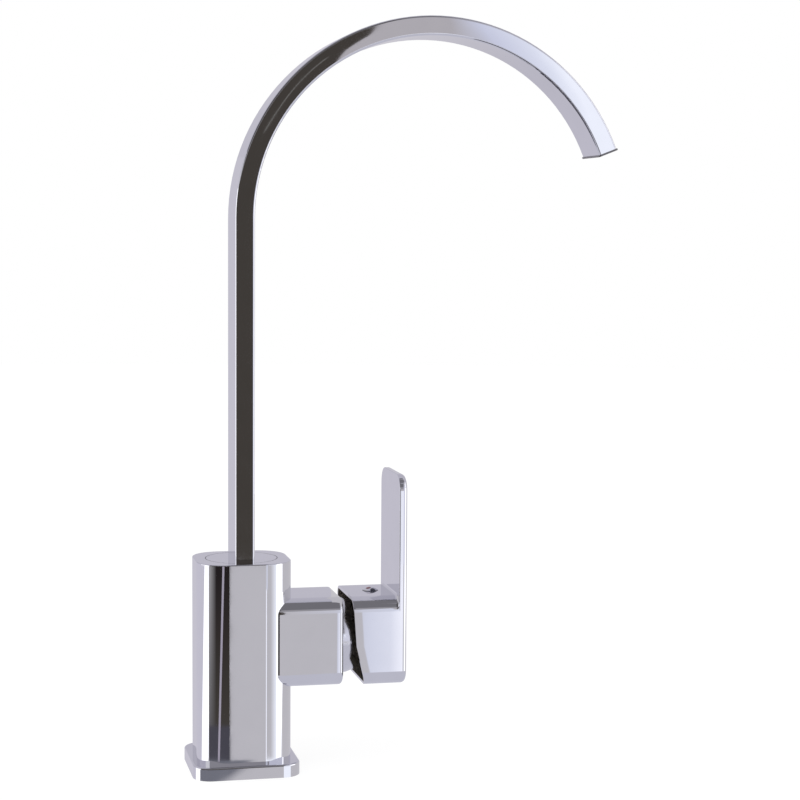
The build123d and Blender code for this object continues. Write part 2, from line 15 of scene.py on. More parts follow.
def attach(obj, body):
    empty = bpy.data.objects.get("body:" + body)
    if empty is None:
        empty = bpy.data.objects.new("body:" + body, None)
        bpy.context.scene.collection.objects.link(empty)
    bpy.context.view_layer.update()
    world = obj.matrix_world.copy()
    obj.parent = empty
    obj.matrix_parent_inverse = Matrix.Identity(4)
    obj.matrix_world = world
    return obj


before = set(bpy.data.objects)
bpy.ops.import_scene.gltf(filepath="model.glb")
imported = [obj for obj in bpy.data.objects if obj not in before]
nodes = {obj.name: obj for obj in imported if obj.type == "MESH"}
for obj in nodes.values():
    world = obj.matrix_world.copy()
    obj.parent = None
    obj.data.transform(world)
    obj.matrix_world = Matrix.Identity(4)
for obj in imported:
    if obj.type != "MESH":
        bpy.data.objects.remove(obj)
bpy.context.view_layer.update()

# %% [markdown]
# ## The view
# A product photograph of a tall tap is taken from about a metre away with a long lens, a
# little to the left and from just above the spout's crown, so that the uprights stay
# nearly parallel. The camera is placed by its direction: a turn from straight ahead, a
# pitch down and a slight roll.

# %% Camera
camera_place = Vector((-0.14118, -0.98651, 0.26910))
camera_turn = math.radians(12.665)
camera_pitch = math.radians(4.839)
camera_roll = math.radians(0.395)
camera_lens = 90.63

ahead = Vector((
    math.sin(camera_turn) * math.cos(camera_pitch),
    math.cos(camera_turn) * math.cos(camera_pitch),
    -math.sin(camera_pitch),
))
level_right = Vector((math.cos(camera_turn), -math.sin(camera_turn), 0))
level_up = level_right.cross(ahead)
right = level_right * math.cos(camera_roll) + level_up * math.sin(camera_roll)
up = right.cross(ahead)

bpy.ops.object.select_all(action="DESELECT")
bpy.ops.object.camera_add(location=camera_place)
camera = bpy.context.active_object
camera.rotation_euler = Matrix((right, up, -ahead)).transposed().to_euler()
camera.data.lens = camera_lens
camera.data.sensor_width = 36
camera.data.clip_start = 0.05
camera.data.clip_end = 50
bpy.context.scene.camera = camera
print("camera at", [round(v, 3) for v in camera.location])

# %% [markdown]
# ## A room for chrome to mirror
# Polished chrome has almost no colour of its own: what is seen is the room. The studio is
# a white tent round the tap, with a strip light on each side and a dark gap in front that
# the camera looks through. A picture of a room wrapped round the scene would do, but cards
# can be moved one by one. Every place in the tent is given by its direction from the tap.

# %% A point of the tent
tent_centre = Vector((0, 0, 0.06))
tent_radius = 8.0
layer_step = 0.05


def tent_point(azimuth, elevation, radius):
    """A point of the tent: azimuth 0 is the front, left is positive, up is positive."""
    turn = math.radians(azimuth)
    rise = math.radians(elevation)
    return tent_centre + radius * Vector((
        -math.sin(turn) * math.cos(rise),
        -math.cos(turn) * math.cos(rise),
        math.sin(rise),
    ))


print("front of the tent", [round(v, 2) for v in tent_point(0, 0, tent_radius)])

# %% [markdown]
# ## What a card is made of
# Only mirrors see the cards: the camera sees white paper behind the tap. A card glows by
# itself and needs no lamp. Its tone is a colour attribute on its corners and not one
# colour, so a card can also fade from one tone to another.

# %% A glow that only mirrors see
def glow_material():
    material = bpy.data.materials.new("tent_card")
    material.use_nodes = True
    tree = material.node_tree
    tree.nodes.clear()
    tone = tree.nodes.new("ShaderNodeAttribute")
    tone.attribute_name = "tone"
    glow = tree.nodes.new("ShaderNodeEmission")
    end = tree.nodes.new("ShaderNodeOutputMaterial")
    tree.links.new(tone.outputs["Color"], glow.inputs["Color"])
    tree.links.new(glow.outputs["Emission"], end.inputs["Surface"])
    return material


def only_for_mirrors(card):
    """Gives a card its glow, and hides it from everything but mirrors."""
    card.data.materials.append(tent_card)
    card.visible_camera = False
    card.visible_diffuse = False
    card.visible_shadow = False


tent_card = glow_material()
print("card material", tent_card.name)

# %% [markdown]
# ## How a card is hung
# Each wall is a wide card far from the tap, bent like a piece of a ball, so that a flat
# chrome face sees only a small part of it and shows one even tone. A card starts as a flat
# grid, and each of its corners is moved to the direction it stands for and gets its tone.
# Where cards overlap, the one on the higher layer hangs nearer and hides the other.

# %% Hang a card by the directions it covers
card_step = 2


def hang_card(name, foot, top, low, high, tones, layer):
    """foot and top are the left and right azimuth of the card's two level edges, and tones
    its colours at the left foot, right foot, left top and right top. The card has a row of
    corners every card_step degrees, and each layer hangs a little nearer than the last."""
    bpy.ops.object.select_all(action="DESELECT")
    bpy.ops.mesh.primitive_grid_add(
        x_subdivisions=max(1, round(abs(foot[1] - foot[0]) / card_step)),
        y_subdivisions=max(1, round((high - low) / card_step)),
        size=2,
    )
    card = bpy.context.active_object
    card.name = name
    radius = tent_radius - layer_step * layer
    attribute = card.data.color_attributes.new("tone", "FLOAT_COLOR", "POINT")
    for number, corner in enumerate(card.data.vertices):
        u = (corner.co.x + 1) / 2
        v = (corner.co.y + 1) / 2
        low_tone = Vector(tones[0]).lerp(Vector(tones[1]), u)
        high_tone = Vector(tones[2]).lerp(Vector(tones[3]), u)
        attribute.data[number].color = (*low_tone.lerp(high_tone, v), 1)
        azimuth_low = foot[0] + (foot[1] - foot[0]) * u
        azimuth_high = top[0] + (top[1] - top[0]) * u
        azimuth = azimuth_low + (azimuth_high - azimuth_low) * v
        corner.co = tent_point(azimuth, low + (high - low) * v, radius)
    only_for_mirrors(card)
    print("hung", name, "at", round(radius, 2), "m")


def hang_upright(name, start, end, low, high, tones, layer):
    """A card whose two sides are upright."""
    hang_card(name, (start, end), (start, end), low, high, tones, layer)


# %% [markdown]
# ## Walls, ceiling and floor of the tent
# White cloth is never quite white or even: it is a touch lilac behind and on the left,
# greyer on the right, and darker overhead. The levels where one card ends and another
# begins are named once, in degrees above the horizon, because many cards share them.

# %% Levels and ways to shade a card
zenith = 90
eave = 12
crown_level = 2.5
sill = -9.12
skirting = -15.27
floor_line = -17


def even(colour):
    return (colour, colour, colour, colour)


def fade_across(left, right):
    return (left, right, left, right)


def fade_up(low, high):
    return (low, low, high, high)


print("levels", floor_line, skirting, sill, crown_level, eave, zenith)

# %% Hang the walls and the floor
lilac = (0.74, 0.72, 0.80)
lilac_side = (0.71, 0.69, 0.77)
lilac_back = (0.61, 0.595, 0.665)
lilac_top = (0.60, 0.585, 0.655)
paper_grey = (0.67, 0.655, 0.675)
floor_grey = (0.67, 0.67, 0.745)
from_left = fade_across(lilac, lilac_side)
past_middle = fade_across(lilac_side, lilac_back)
to_right = fade_across(lilac_back, paper_grey)
hang_upright("back_wall_left", 125, 152, -20, zenith, from_left, 0)
hang_upright("back_wall_middle", 152, 180, -20, zenith, past_middle, 0)
hang_upright("back_wall_right", -180, -125, -20, zenith, to_right, 0)
hang_upright("back_ceiling", 92, 278, 8, zenith, even(lilac_top), 1)
hang_upright("left_wall", 92, 130, -20, zenith, even(lilac), 1)
hang_upright("right_wall", -130, -82, -20, zenith, even(paper_grey), 1)
hang_upright("tent_floor", -180, 180, -90, floor_line, even(floor_grey), 0)

# %% Hang the front of the ceiling
ceiling_grey = (0.215, 0.21, 0.225)
shade_grey = (0.40, 0.39, 0.41)
edge_grey = (0.42, 0.41, 0.44)
cool_grey = (0.87, 0.88, 0.99)
gap_ceiling = (0.105, 0.10, 0.10)
hang_upright("front_ceiling", -82, 92, 25, zenith, even(ceiling_grey), 2)
hang_upright("front_valance", -82, 73, eave, 25, even(shade_grey), 2)
hang_upright("gap_ceiling", -9.8, 73, 18.5, 48, even(gap_ceiling), 3)
hang_upright("right_ceiling", -22, -82, eave, 55, fade_up(cool_grey, edge_grey), 3)

# %% [markdown]
# ## Strip lights
# Two long lamps stand at the sides. They are what draws the white lines down the upright
# edges, so they are brighter than white paper.

# %% Hang the strip lights
lamp_white = (1.7, 1.7, 1.7)
hang_card("left_strip_light", (84, 124), (67, 97), -18, sill, even(lamp_white), 4)
hang_upright("left_strip_light_high", 73, 116, sill, eave, even(lamp_white), 4)
hang_card("right_strip_light", (-52, -76), (-52, -95), -15.25, sill, even(lamp_white), 3)
hang_upright("right_strip_light_high", -52, -90, sill, 40, even(lamp_white), 3)

# %% [markdown]
# ## The front wall
# The front of the tent does most of the work, because the camera looks at faces that
# mirror it. Its low part is what the body, the housing, the lever and the plate mirror,
# and its high part is what the spout and the blade mirror. The wall starts at the right
# side of the dark gap and gets brighter to the right, as cloth does near a lamp.

# %% Hang the low front wall, for the castings
front_grey = (0.64, 0.63, 0.65)
cool_white = (0.86, 0.89, 1.01)
cool_bright = (1.20, 1.24, 1.32)
lever_white = (1.35, 1.36, 1.42)
gap_side = -7.73
wall_side = -11.6
to_white = fade_across(cool_white, lever_white)
hang_upright("low_grey_wall", gap_side, wall_side, floor_line, sill, even(paper_grey), 3)
soft_tones = fade_across(paper_grey, cool_white)
hang_upright("soft_step", wall_side, -12.1, floor_line, sill, soft_tones, 3)
hang_upright("lever_wall", -12.1, -15.2, floor_line, sill, to_white, 3)
to_paper = fade_across(front_grey, paper_grey)
hang_upright("right_front_wall", -15.2, -28, floor_line, sill, to_paper, 3)
to_bright = fade_across(paper_grey, cool_bright)
hang_upright("right_front_fade", -28, -53, floor_line, sill, to_bright, 3)

# %% Hang the foot of the front wall, for the base plate
plate_shade = (0.22, 0.225, 0.26)
hang_upright("plate_light", -14.5, -55, floor_line, -15.25, even(cool_bright), 4)
hang_upright("plate_right_wall", -55, -82, floor_line, -15.25, even(paper_grey), 4)
plate_tones = fade_across(plate_shade, paper_grey)
hang_card("plate_fade", (-6.9, -7.4), (-8.3, -8.7), -16.2, skirting, plate_tones, 5)

# %% Hang the high front wall, for the blade and the spout
cool_soft = (0.80, 0.83, 0.98)
cool_middle = (1.00, 1.04, 1.16)
hang_upright("high_right_wall", -15.3, -53, sill, eave, even(cool_grey), 2)
hang_upright("blade_wall", wall_side, -13.0, sill, crown_level, even(cool_white), 3)
hang_upright("blade_fade", -13.0, -15.3, sill, crown_level, to_white, 3)
hang_upright("edge_wall", -9.4, wall_side, sill, 2.7, even(edge_grey), 4)
arch_steps = (
    ("arch_fade_middle", -15.9, -17.7, cool_soft, cool_middle),
    ("arch_fade_bright", -17.7, -18.9, cool_middle, cool_bright),
    ("arch_bright_wall", -18.9, -22.5, cool_bright, cool_bright),
)
for name, start, end, left, right_tone in arch_steps:
    hang_upright(name, start, end, crown_level, eave, fade_across(left, right_tone), 5)

# %% Hang the grey part that the arch's crown mirrors
crown_grey = (0.585, 0.56, 0.575)
crown_side = -15.3
crown_slope = (6.84, 7.87)
crown_tones = fade_across(crown_grey, cool_soft)
hang_upright("arch_fade_soft", -14.7, -15.9, crown_level, eave, crown_tones, 5)
grey = even(crown_grey)
hang_upright("crown_low", wall_side, crown_side, crown_level, crown_slope[0], grey, 4)
hang_card("crown_slant", (-11.58, crown_side), (-12.05, crown_side), *crown_slope, grey, 4)
hang_upright("crown_high", -12.05, crown_side, crown_slope[1], eave, grey, 4)

# %% [markdown]
# ## The dark gap
# The camera looks through a gap between two cloths, and behind it the studio is dark.
# Chrome mirrors that as the black bands which make it look like metal. Deep in the gap
# hang a few dim things, such as a streak, a soft edge at the left and a slit of light.

# %% Hang the dark gap that the camera looks through
gap_dark = (0.020, 0.016, 0.017)
gap_warm = (0.070, 0.062, 0.053)
gap_foot = (0.085, 0.082, 0.10)
gap_line = -14.2
hang_upright("gap_high", 73, -12.6, sill, eave, even(gap_warm), 3)
hang_upright("gap_low", 76, gap_side, gap_line, sill, fade_up(gap_warm, gap_dark), 5)
hang_upright("gap_foot", 76, gap_side, skirting, gap_line, even(gap_foot), 5)
hang_card("gap_plate", (80, -6.9), (80, -8.3), -16.2, skirting, even(plate_shade), 5)
hang_upright("gap_floor", 160, -8, -66, -28, even(gap_foot), 4)

# %% Hang the dim things in the gap
gap_streak = (0.21, 0.205, 0.19)
slit_grey = (0.48, 0.44, 0.52)
gap_soft_foot = (0.17, 0.165, 0.17)
gap_soft_top = (0.50, 0.49, 0.49)
left_tones = (gap_soft_foot, gap_warm, gap_soft_top, gap_dark)
hang_card("gap_streak", (-8.95, -9.12), (-10.68, -10.90), 4.5, 7.0, even(gap_streak), 5)
hang_upright("gap_left_fade", 76, 44, gap_line, sill, left_tones, 6)
hang_card("gap_slit", (38, 30), (19, 11), skirting, sill, even(slit_grey), 6)

# %% [markdown]
# ## Two small cards close to the tap
# A studio also holds small cards just out of the picture. A far wall looks the same from
# every edge of the tap, but a near one is seen from each edge in another direction, so it
# can serve one edge alone. One card hangs less than a metre away and softens the rounded
# top edges of the side valve. The other, thin as paper, is held between body and lever,
# so that the body's corner mirrors plain grey and not the lever's dark mouth.

# %% A card close by, for the rounded top edges of the side valve
near_radius = 0.9
near_layer = round((tent_radius - near_radius) / layer_step)
hang_upright("near_card", -10.2, -17.0, -7.9, 13.5, soft_tones, near_layer)

# %% A card held between body and lever
held_place = (0.0503, 0, 0.1055)
held_size = (0.0002, 0.048, 0.041)
bpy.ops.object.select_all(action="DESELECT")
bpy.ops.mesh.primitive_cube_add(size=1, location=held_place, scale=held_size)
held_card = bpy.context.active_object
held_card.name = "held_card"
attribute = held_card.data.color_attributes.new("tone", "FLOAT_COLOR", "POINT")
for corner_tone in attribute.data:
    corner_tone.color = (*paper_grey, 1)
only_for_mirrors(held_card)
print("held card", [round(v, 4) for v in held_card.dimensions])

# %% [markdown]
# ## White paper under and behind
# The tap stands on a white paper sweep. The paper is lit evenly from all sides, so the
# world gives it its light, and the camera sees the world as plain white too. Light Path
# tells a shader who is looking: the camera and mirrors see the paper at its plain white,
# and everything else gets its light.

# %% Who is looking
def camera_or_mirror(tree):
    """1 for the camera, for mirrors and for what is seen through glass, 0 for the rest."""
    seen_by = tree.nodes.new("ShaderNodeLightPath")
    answer = seen_by.outputs["Is Camera Ray"]
    for kind in ("Is Glossy Ray", "Is Transmission Ray"):
        either = tree.nodes.new("ShaderNodeMath")
        either.operation = "MAXIMUM"
        tree.links.new(answer, either.inputs[0])
        tree.links.new(seen_by.outputs[kind], either.inputs[1])
        answer = either.outputs[0]
    return answer


# %% The world
light_strength = 0.8
paper_strength = 1.0
world = bpy.data.worlds.new("white_paper")
bpy.context.scene.world = world
world.use_nodes = True
tree = world.node_tree
tree.nodes.clear()
choice = tree.nodes.new("ShaderNodeMixShader")
tree.links.new(camera_or_mirror(tree), choice.inputs[0])
for number, strength in ((1, light_strength), (2, paper_strength)):
    glow = tree.nodes.new("ShaderNodeBackground")
    glow.inputs["Color"].default_value = (1, 1, 1, 1)
    glow.inputs["Strength"].default_value = strength
    tree.links.new(glow.outputs[0], choice.inputs[number])
end = tree.nodes.new("ShaderNodeOutputWorld")
tree.links.new(choice.outputs[0], end.inputs["Surface"])
bpy.context.scene.view_settings.view_transform = "Standard"
print("world nodes", len(tree.nodes))

# %% [markdown]
# ## The paper floor
# The floor has to fade into the white behind it and still show where the tap stands. A
# paper that only glows would lose the soft shadow, and one that is only lit would turn
# out grey, so for the camera it is mostly glow, and the rest is matt white paper. Mirrors
# don't see it, because the tent has a floor of its own.

# %% Lay the paper floor
floor_radius = 3.0
floor_white = (0.95, 0.95, 0.95, 1)
floor_glow = 1.08
glow_share = 0.8
bpy.ops.object.select_all(action="DESELECT")
bpy.ops.mesh.primitive_circle_add(
    vertices=96, radius=floor_radius, fill_type="NGON", location=(0, 0, 0),
)
floor = bpy.context.active_object
floor.name = "paper_floor"
floor.visible_glossy = False
print("floor", [round(v, 2) for v in floor.dimensions])

# %% Its paper
floor_paper = bpy.data.materials.new("floor_paper")
floor_paper.use_nodes = True
tree = floor_paper.node_tree
tree.nodes.clear()
matt = tree.nodes.new("ShaderNodeBsdfDiffuse")
matt.inputs["Color"].default_value = floor_white
bright = tree.nodes.new("ShaderNodeEmission")
bright.inputs["Color"].default_value = (1, 1, 1, 1)
bright.inputs["Strength"].default_value = floor_glow
share = tree.nodes.new("ShaderNodeMath")
share.operation = "MULTIPLY"
share.inputs[1].default_value = glow_share
choice = tree.nodes.new("ShaderNodeMixShader")
end = tree.nodes.new("ShaderNodeOutputMaterial")
tree.links.new(camera_or_mirror(tree), share.inputs[0])
tree.links.new(share.outputs[0], choice.inputs[0])
tree.links.new(matt.outputs[0], choice.inputs[1])
tree.links.new(bright.outputs[0], choice.inputs[2])
tree.links.new(choice.outputs[0], end.inputs["Surface"])
floor.data.materials.append(floor_paper)
print("paper nodes", len(tree.nodes))

# %% [markdown]
# ## A soft lamp overhead
# The cards light nothing, so matt pieces, such as plastic and rubber, have only the even
# light of the white paper. A wide lamp high up on the left gives them a side that is lit
# and one in shade. It is weak, and mirrors don't see it, so it leaves the chrome alone.

# %% The lamp
lamp_aim = Vector((0.05, 0, 0.1))
bpy.ops.object.select_all(action="DESELECT")
bpy.ops.object.light_add(type="AREA", location=(-0.5, -0.7, 1.5))
lamp = bpy.context.active_object
lamp.data.shape = "DISK"
lamp.data.size = 1.2
lamp.data.energy = 6
lamp.visible_glossy = False
lamp.rotation_euler = (lamp_aim - lamp.location).to_track_quat("-Z", "Y").to_euler()
print("lamp", lamp.data.energy, "W")

# %% [markdown]
# ## Finishes
# Every finish is made with nodes on Object coordinates, in metres, so that a pattern keeps
# its real size and stays on the piece when the piece moves. One helper starts a finish and
# another opens it again, to add to it: both give the tree of nodes, the shader and the
# coordinates.

# %% Start a finish, and open it again
def new_finish(name):
    """The material, its tree, its shader and the piece's own coordinates."""
    material = bpy.data.materials.new(name)
    material.use_nodes = True
    tree = material.node_tree
    tree.nodes.clear()
    shader = tree.nodes.new("ShaderNodeBsdfPrincipled")
    end = tree.nodes.new("ShaderNodeOutputMaterial")
    tree.links.new(shader.outputs["BSDF"], end.inputs["Surface"])
    place = tree.nodes.new("ShaderNodeTexCoord").outputs["Object"]
    return material, tree, shader, place


def open_finish(material):
    """The tree, the first shader and the coordinates of a finish made before."""
    tree = material.node_tree
    shader = next(n for n in tree.nodes if n.type == "BSDF_PRINCIPLED")
    place = next(n for n in tree.nodes if n.type == "TEX_COORD").outputs["Object"]
    return tree, shader, place


# %% [markdown]
# ## From a pattern to a finish
# Nothing real has one tone and one roughness all over. Most finishes here start from a
# soft random pattern: its range is changed into a roughness, a ramp turns it into colours,
# and a bump lets the light see it as height. Each of these steps is a small helper.

# %% A soft pattern and its range
def add_noise(tree, place, size, detail):
    """A soft random pattern whose spots are about size metres wide."""
    noise = tree.nodes.new("ShaderNodeTexNoise")
    noise.inputs["Scale"].default_value = 1 / size
    noise.inputs["Detail"].default_value = detail
    tree.links.new(place, noise.inputs["Vector"])
    return noise.outputs["Fac"]


def to_range(tree, value, low, high, start=0.3, stop=0.7):
    """Turns the range from start to stop into the range from low to high."""
    change = tree.nodes.new("ShaderNodeMapRange")
    change.inputs["From Min"].default_value = start
    change.inputs["From Max"].default_value = stop
    change.inputs["To Min"].default_value = low
    change.inputs["To Max"].default_value = high
    tree.links.new(value, change.inputs["Value"])
    return change.outputs["Result"]


# %% Colour and bump from a pattern
def two_tones(tree, shader, pattern, dark, light, start=0.3, stop=0.7):
    """Colours the shader from dark to light with a pattern."""
    ramp = tree.nodes.new("ShaderNodeValToRGB")
    for element, position, colour in zip(
        ramp.color_ramp.elements, (start, stop), (dark, light),
    ):
        element.position = position
        element.color = (*colour, 1)
    tree.links.new(pattern, ramp.inputs["Fac"])
    tree.links.new(ramp.outputs["Color"], shader.inputs["Base Color"])


def add_bump(tree, shader, height, depth, before=None):
    """Lets the light see a height pattern that is depth metres deep."""
    bump = tree.nodes.new("ShaderNodeBump")
    bump.inputs["Strength"].default_value = 1.0
    bump.inputs["Distance"].default_value = depth
    tree.links.new(height, bump.inputs["Height"])
    if before is not None:
        tree.links.new(before, bump.inputs["Normal"])
    tree.links.new(bump.outputs["Normal"], shader.inputs["Normal"])
    return bump.outputs["Normal"]


# %% [markdown]
# ## Chrome on the castings
# The body, its plate, the valve housing and the lever are brass castings that are ground,
# buffed and plated with bright chrome. Chrome is a bluish mirror that returns about seven
# tenths of the light. Buffing leaves the flat faces very slightly wavy, and the last
# wipe leaves faint spots that are a touch less sharp, so the roughness and the bump both
# carry a soft pattern instead of being one number all over.

# %% Chrome for castings
chrome_dark = (0.69, 0.69, 0.735)
chrome_light = (0.71, 0.71, 0.755)
wipe_size = 0.012


def plain_chrome(name, sharp, soft, dark=chrome_dark, light=chrome_light):
    """A mirror with faint wiping spots, whose roughness goes from sharp to soft."""
    material, tree, shader, place = new_finish(name)
    shader.inputs["Metallic"].default_value = 1.0
    wipe = add_noise(tree, place, wipe_size, 3.0)
    two_tones(tree, shader, wipe, dark, light)
    tree.links.new(to_range(tree, wipe, sharp, soft), shader.inputs["Roughness"])
    return material


def chrome_finish(name, wave_size, wave_depth, *finish):
    """Plain chrome with shallow waves, both measures in metres."""
    material = plain_chrome(name, *finish)
    tree, shader, place = open_finish(material)
    add_bump(tree, shader, add_noise(tree, place, wave_size, 1.0), wave_depth)
    return material


cast_wave = (0.05, 0.00002)
cast_chrome = chrome_finish("cast_chrome", *cast_wave, 0.015, 0.035)
print("chrome", cast_chrome.name)

# %% [markdown]
# ## Chrome on the spout
# The spout is a flat tube that was bent into its arch before plating. Bending leaves long
# shallow waves along the tube, and they are what makes the reflections on the arch waver.
# Noise on plain coordinates would run across the bend, so the spout gets its own chrome,
# whose patterns follow the bend: they are drawn on the distance from the arch's centre and
# the angle. Above the centre's height the tube is bent, and below it the tube is straight.

# %% Arithmetic with sockets
def join_math(tree, operation, first, second=None):
    """One step of arithmetic between two sockets, or a socket and a number."""
    step = tree.nodes.new("ShaderNodeMath")
    step.operation = operation
    tree.links.new(first, step.inputs[0])
    if isinstance(second, (int, float)):
        step.inputs[1].default_value = second
    elif second is not None:
        tree.links.new(second, step.inputs[1])
    return step.outputs[0]


def diagonal(tree, first, second):
    """How long the third side is in a right triangle with these two sides."""
    squares = [join_math(tree, "MULTIPLY", side, side) for side in (first, second)]
    return join_math(tree, "SQRT", join_math(tree, "ADD", *squares))


def split_place(tree, place):
    """A place as three sockets: x, y and z."""
    split = tree.nodes.new("ShaderNodeSeparateXYZ")
    tree.links.new(place, split.inputs["Vector"])
    return split.outputs["X"], split.outputs["Y"], split.outputs["Z"]


def join_place(tree, x, y, z):
    """Three sockets as one vector."""
    joined = tree.nodes.new("ShaderNodeCombineXYZ")
    for number, value in enumerate((x, y, z)):
        tree.links.new(value, joined.inputs[number])
    return joined.outputs["Vector"]


# %% Where a point of the tube is, along the bend
arch_centre = (0.0952, 0.0, 0.274)
tube_chrome = plain_chrome("tube_chrome", 0.015, 0.035)
tree, shader, place = open_finish(tube_chrome)
from_centre = tree.nodes.new("ShaderNodeMapping")
from_centre.inputs["Location"].default_value = [-v for v in arch_centre]
tree.links.new(place, from_centre.inputs["Vector"])
centre_x, centre_y, centre_z = split_place(tree, from_centre.outputs["Vector"])
rise = join_math(tree, "MAXIMUM", centre_z, 0.0)
drop = join_math(tree, "MINIMUM", centre_z, 0.0)
angle = join_math(tree, "ARCTAN2", rise, centre_x)
radius = diagonal(tree, rise, centre_x)
print("tube finish nodes", len(tree.nodes))

# %% Waves that follow the bend
bend_stretch = 0.02
straight_stretch = 0.2
waves_per_metre = 90
along_bend = join_math(tree, "MULTIPLY", angle, bend_stretch)
along_column = join_math(tree, "MULTIPLY", drop, straight_stretch)
along = join_math(tree, "SUBTRACT", along_bend, along_column)
bent_place = join_place(tree, along, radius, centre_y)
bend_wave = add_noise(tree, bent_place, 1 / waves_per_metre, 0.5)
print("wave nodes", len(tree.nodes))

# %% [markdown]
# ## The true direction of the tube's skin
# The mesh of a bent tube is made of small flat facets, and on its narrow rounded corners a
# mirror would show them as a dashed line. Far more facets would help, but the shape is
# simple enough to work out the true direction of its skin. The point is compared with the
# nearest point of a smaller rectangle whose corners are the centres of the rounded
# corners: the skin faces from that point to this one. Only the outer skin gets it, because
# the tube's inside has other walls.

# %% Work out the direction
tube_half_width = 0.00485
tube_half_depth = 0.01375
tube_corner = 0.0011


def beyond(tree, value, half):
    """How far the value lies beyond the range from -half to half, with its sign."""
    kept = join_math(tree, "MAXIMUM", join_math(tree, "MINIMUM", value, half), -half)
    return join_math(tree, "SUBTRACT", value, kept)


across = join_math(tree, "SUBTRACT", radius, arch_centre[0])
out_across = beyond(tree, across, tube_half_width - tube_corner)
out_sideways = beyond(tree, centre_y, tube_half_depth - tube_corner)
out_per_radius = join_math(tree, "DIVIDE", out_across, radius)
skin_x = join_math(tree, "MULTIPLY", centre_x, out_per_radius)
skin_z = join_math(tree, "MULTIPLY", rise, out_per_radius)
to_world = tree.nodes.new("ShaderNodeVectorTransform")
to_world.vector_type = "NORMAL"
to_world.convert_from = "OBJECT"
to_world.convert_to = "WORLD"
tree.links.new(join_place(tree, skin_x, out_sideways, skin_z), to_world.inputs["Vector"])
print("true skin", to_world.name)

# %% Only the outer skin gets it
skin_depth = 0.0005
past_width = join_math(tree, "SUBTRACT", join_math(tree, "ABSOLUTE", across), tube_half_width)
past_depth = join_math(
    tree, "SUBTRACT", join_math(tree, "ABSOLUTE", centre_y), tube_half_depth,
)
past_skin = join_math(tree, "MAXIMUM", past_width, past_depth)
outer = join_math(tree, "GREATER_THAN", past_skin, -skin_depth)
print("mixed by", outer.node.name)

# %% Mix the two directions
# A Mix node lists the sockets of every kind of data that it can mix, under the same names,
# so the ones for vectors are taken by number.
mix_share, mix_first, mix_second, mix_answer = 0, 4, 5, 1
as_meshed = tree.nodes.new("ShaderNodeNewGeometry")
smooth_way = tree.nodes.new("ShaderNodeMix")
smooth_way.data_type = "VECTOR"
tree.links.new(outer, smooth_way.inputs[mix_share])
tree.links.new(as_meshed.outputs["Normal"], smooth_way.inputs[mix_first])
tree.links.new(to_world.outputs["Vector"], smooth_way.inputs[mix_second])
even_way = tree.nodes.new("ShaderNodeVectorMath")
even_way.operation = "NORMALIZE"
tree.links.new(smooth_way.outputs[mix_answer], even_way.inputs[0])
print("skin nodes", len(tree.nodes))

# %% [markdown]
# ## Waves and bowed narrow faces
# Bending also bows the tube's narrow faces out by a few hundredths of a millimetre, which
# makes a reflection shade off across the tube. It is a bump after the waves: highest in
# the middle of the face, nothing at its edges, and it grows over the first centimetres of
# the bend.

# %% Add the waves and the bow
wave_depth = 0.00005
bow_depth = 0.000022
bow_grows_over = 0.03
wavy = add_bump(tree, shader, bend_wave, wave_depth, even_way.outputs[0])
off_middle = join_math(tree, "DIVIDE", across, tube_half_width)
off_square = join_math(tree, "MULTIPLY", off_middle, off_middle)
bow = join_math(tree, "ABSOLUTE", join_math(tree, "SUBTRACT", off_square, 1.0))
bent = to_range(tree, rise, 0, 1, 0.0, bow_grows_over)
add_bump(tree, shader, join_math(tree, "MULTIPLY", bow, bent), bow_depth, wavy)
print("tube finish nodes", len(tree.nodes))

# %% [markdown]
# ## Softer chrome and dark nickel
# Small turned pieces are buffed less, so the disc round the tube's foot is a little less
# sharp. The domed cap between housing and lever is brushed once round before plating,
# which leaves it softer still. The thin plate that rims the outlet is dark nickel, satin
# rather than bright, and draws a grey line round the end of the spout. All three are the
# chrome of the castings with other numbers.

# %% Thin chrome, satin chrome and dark nickel
nickel_dark = (0.16, 0.155, 0.155)
nickel_light = (0.22, 0.215, 0.215)
satin_wave = (0.01, 0.000004)
thin_chrome = chrome_finish("thin_chrome", 0.02, 0.00001, 0.02, 0.05)
satin_chrome = chrome_finish("satin_chrome", *satin_wave, 0.12, 0.18)
dark_nickel = chrome_finish(
    "dark_nickel", *satin_wave, 0.22, 0.32, nickel_dark, nickel_light,
)
print("softer finishes", thin_chrome.name, satin_chrome.name, dark_nickel.name)

# %% [markdown]
# ## Edges that the buffing wheel has rounded off
# A buffing wheel takes a little more metal near an edge than in the middle of a face. The
# face stays flat to the hand, but its last few millimetres roll off by a degree or two,
# and in a mirror that is plain to see: a band of another tone runs along the edge. Cutting
# that into the mesh would need very many faces, so it is a bump: zero in the middle of the
# face, and falling like a parabola from a few millimetres before the edge.

# %% A rolled edge
def add_roll(tree, shader, inside, width, slope):
    """inside is the distance to the edge in metres: slope is in degrees, at the edge."""
    near = to_range(tree, inside, 1, 0, 0, width)
    fall = join_math(tree, "MULTIPLY", near, near)
    flat = join_math(tree, "ABSOLUTE", join_math(tree, "SUBTRACT", fall, 1.0))
    before = shader.inputs["Normal"].links[0].from_socket
    add_bump(tree, shader, flat, math.tan(math.radians(slope)) * width / 2, before)


def before_end(tree, value, end):
    """How far the value lies before the end."""
    return join_math(tree, "MULTIPLY", join_math(tree, "SUBTRACT", value, end), -1.0)


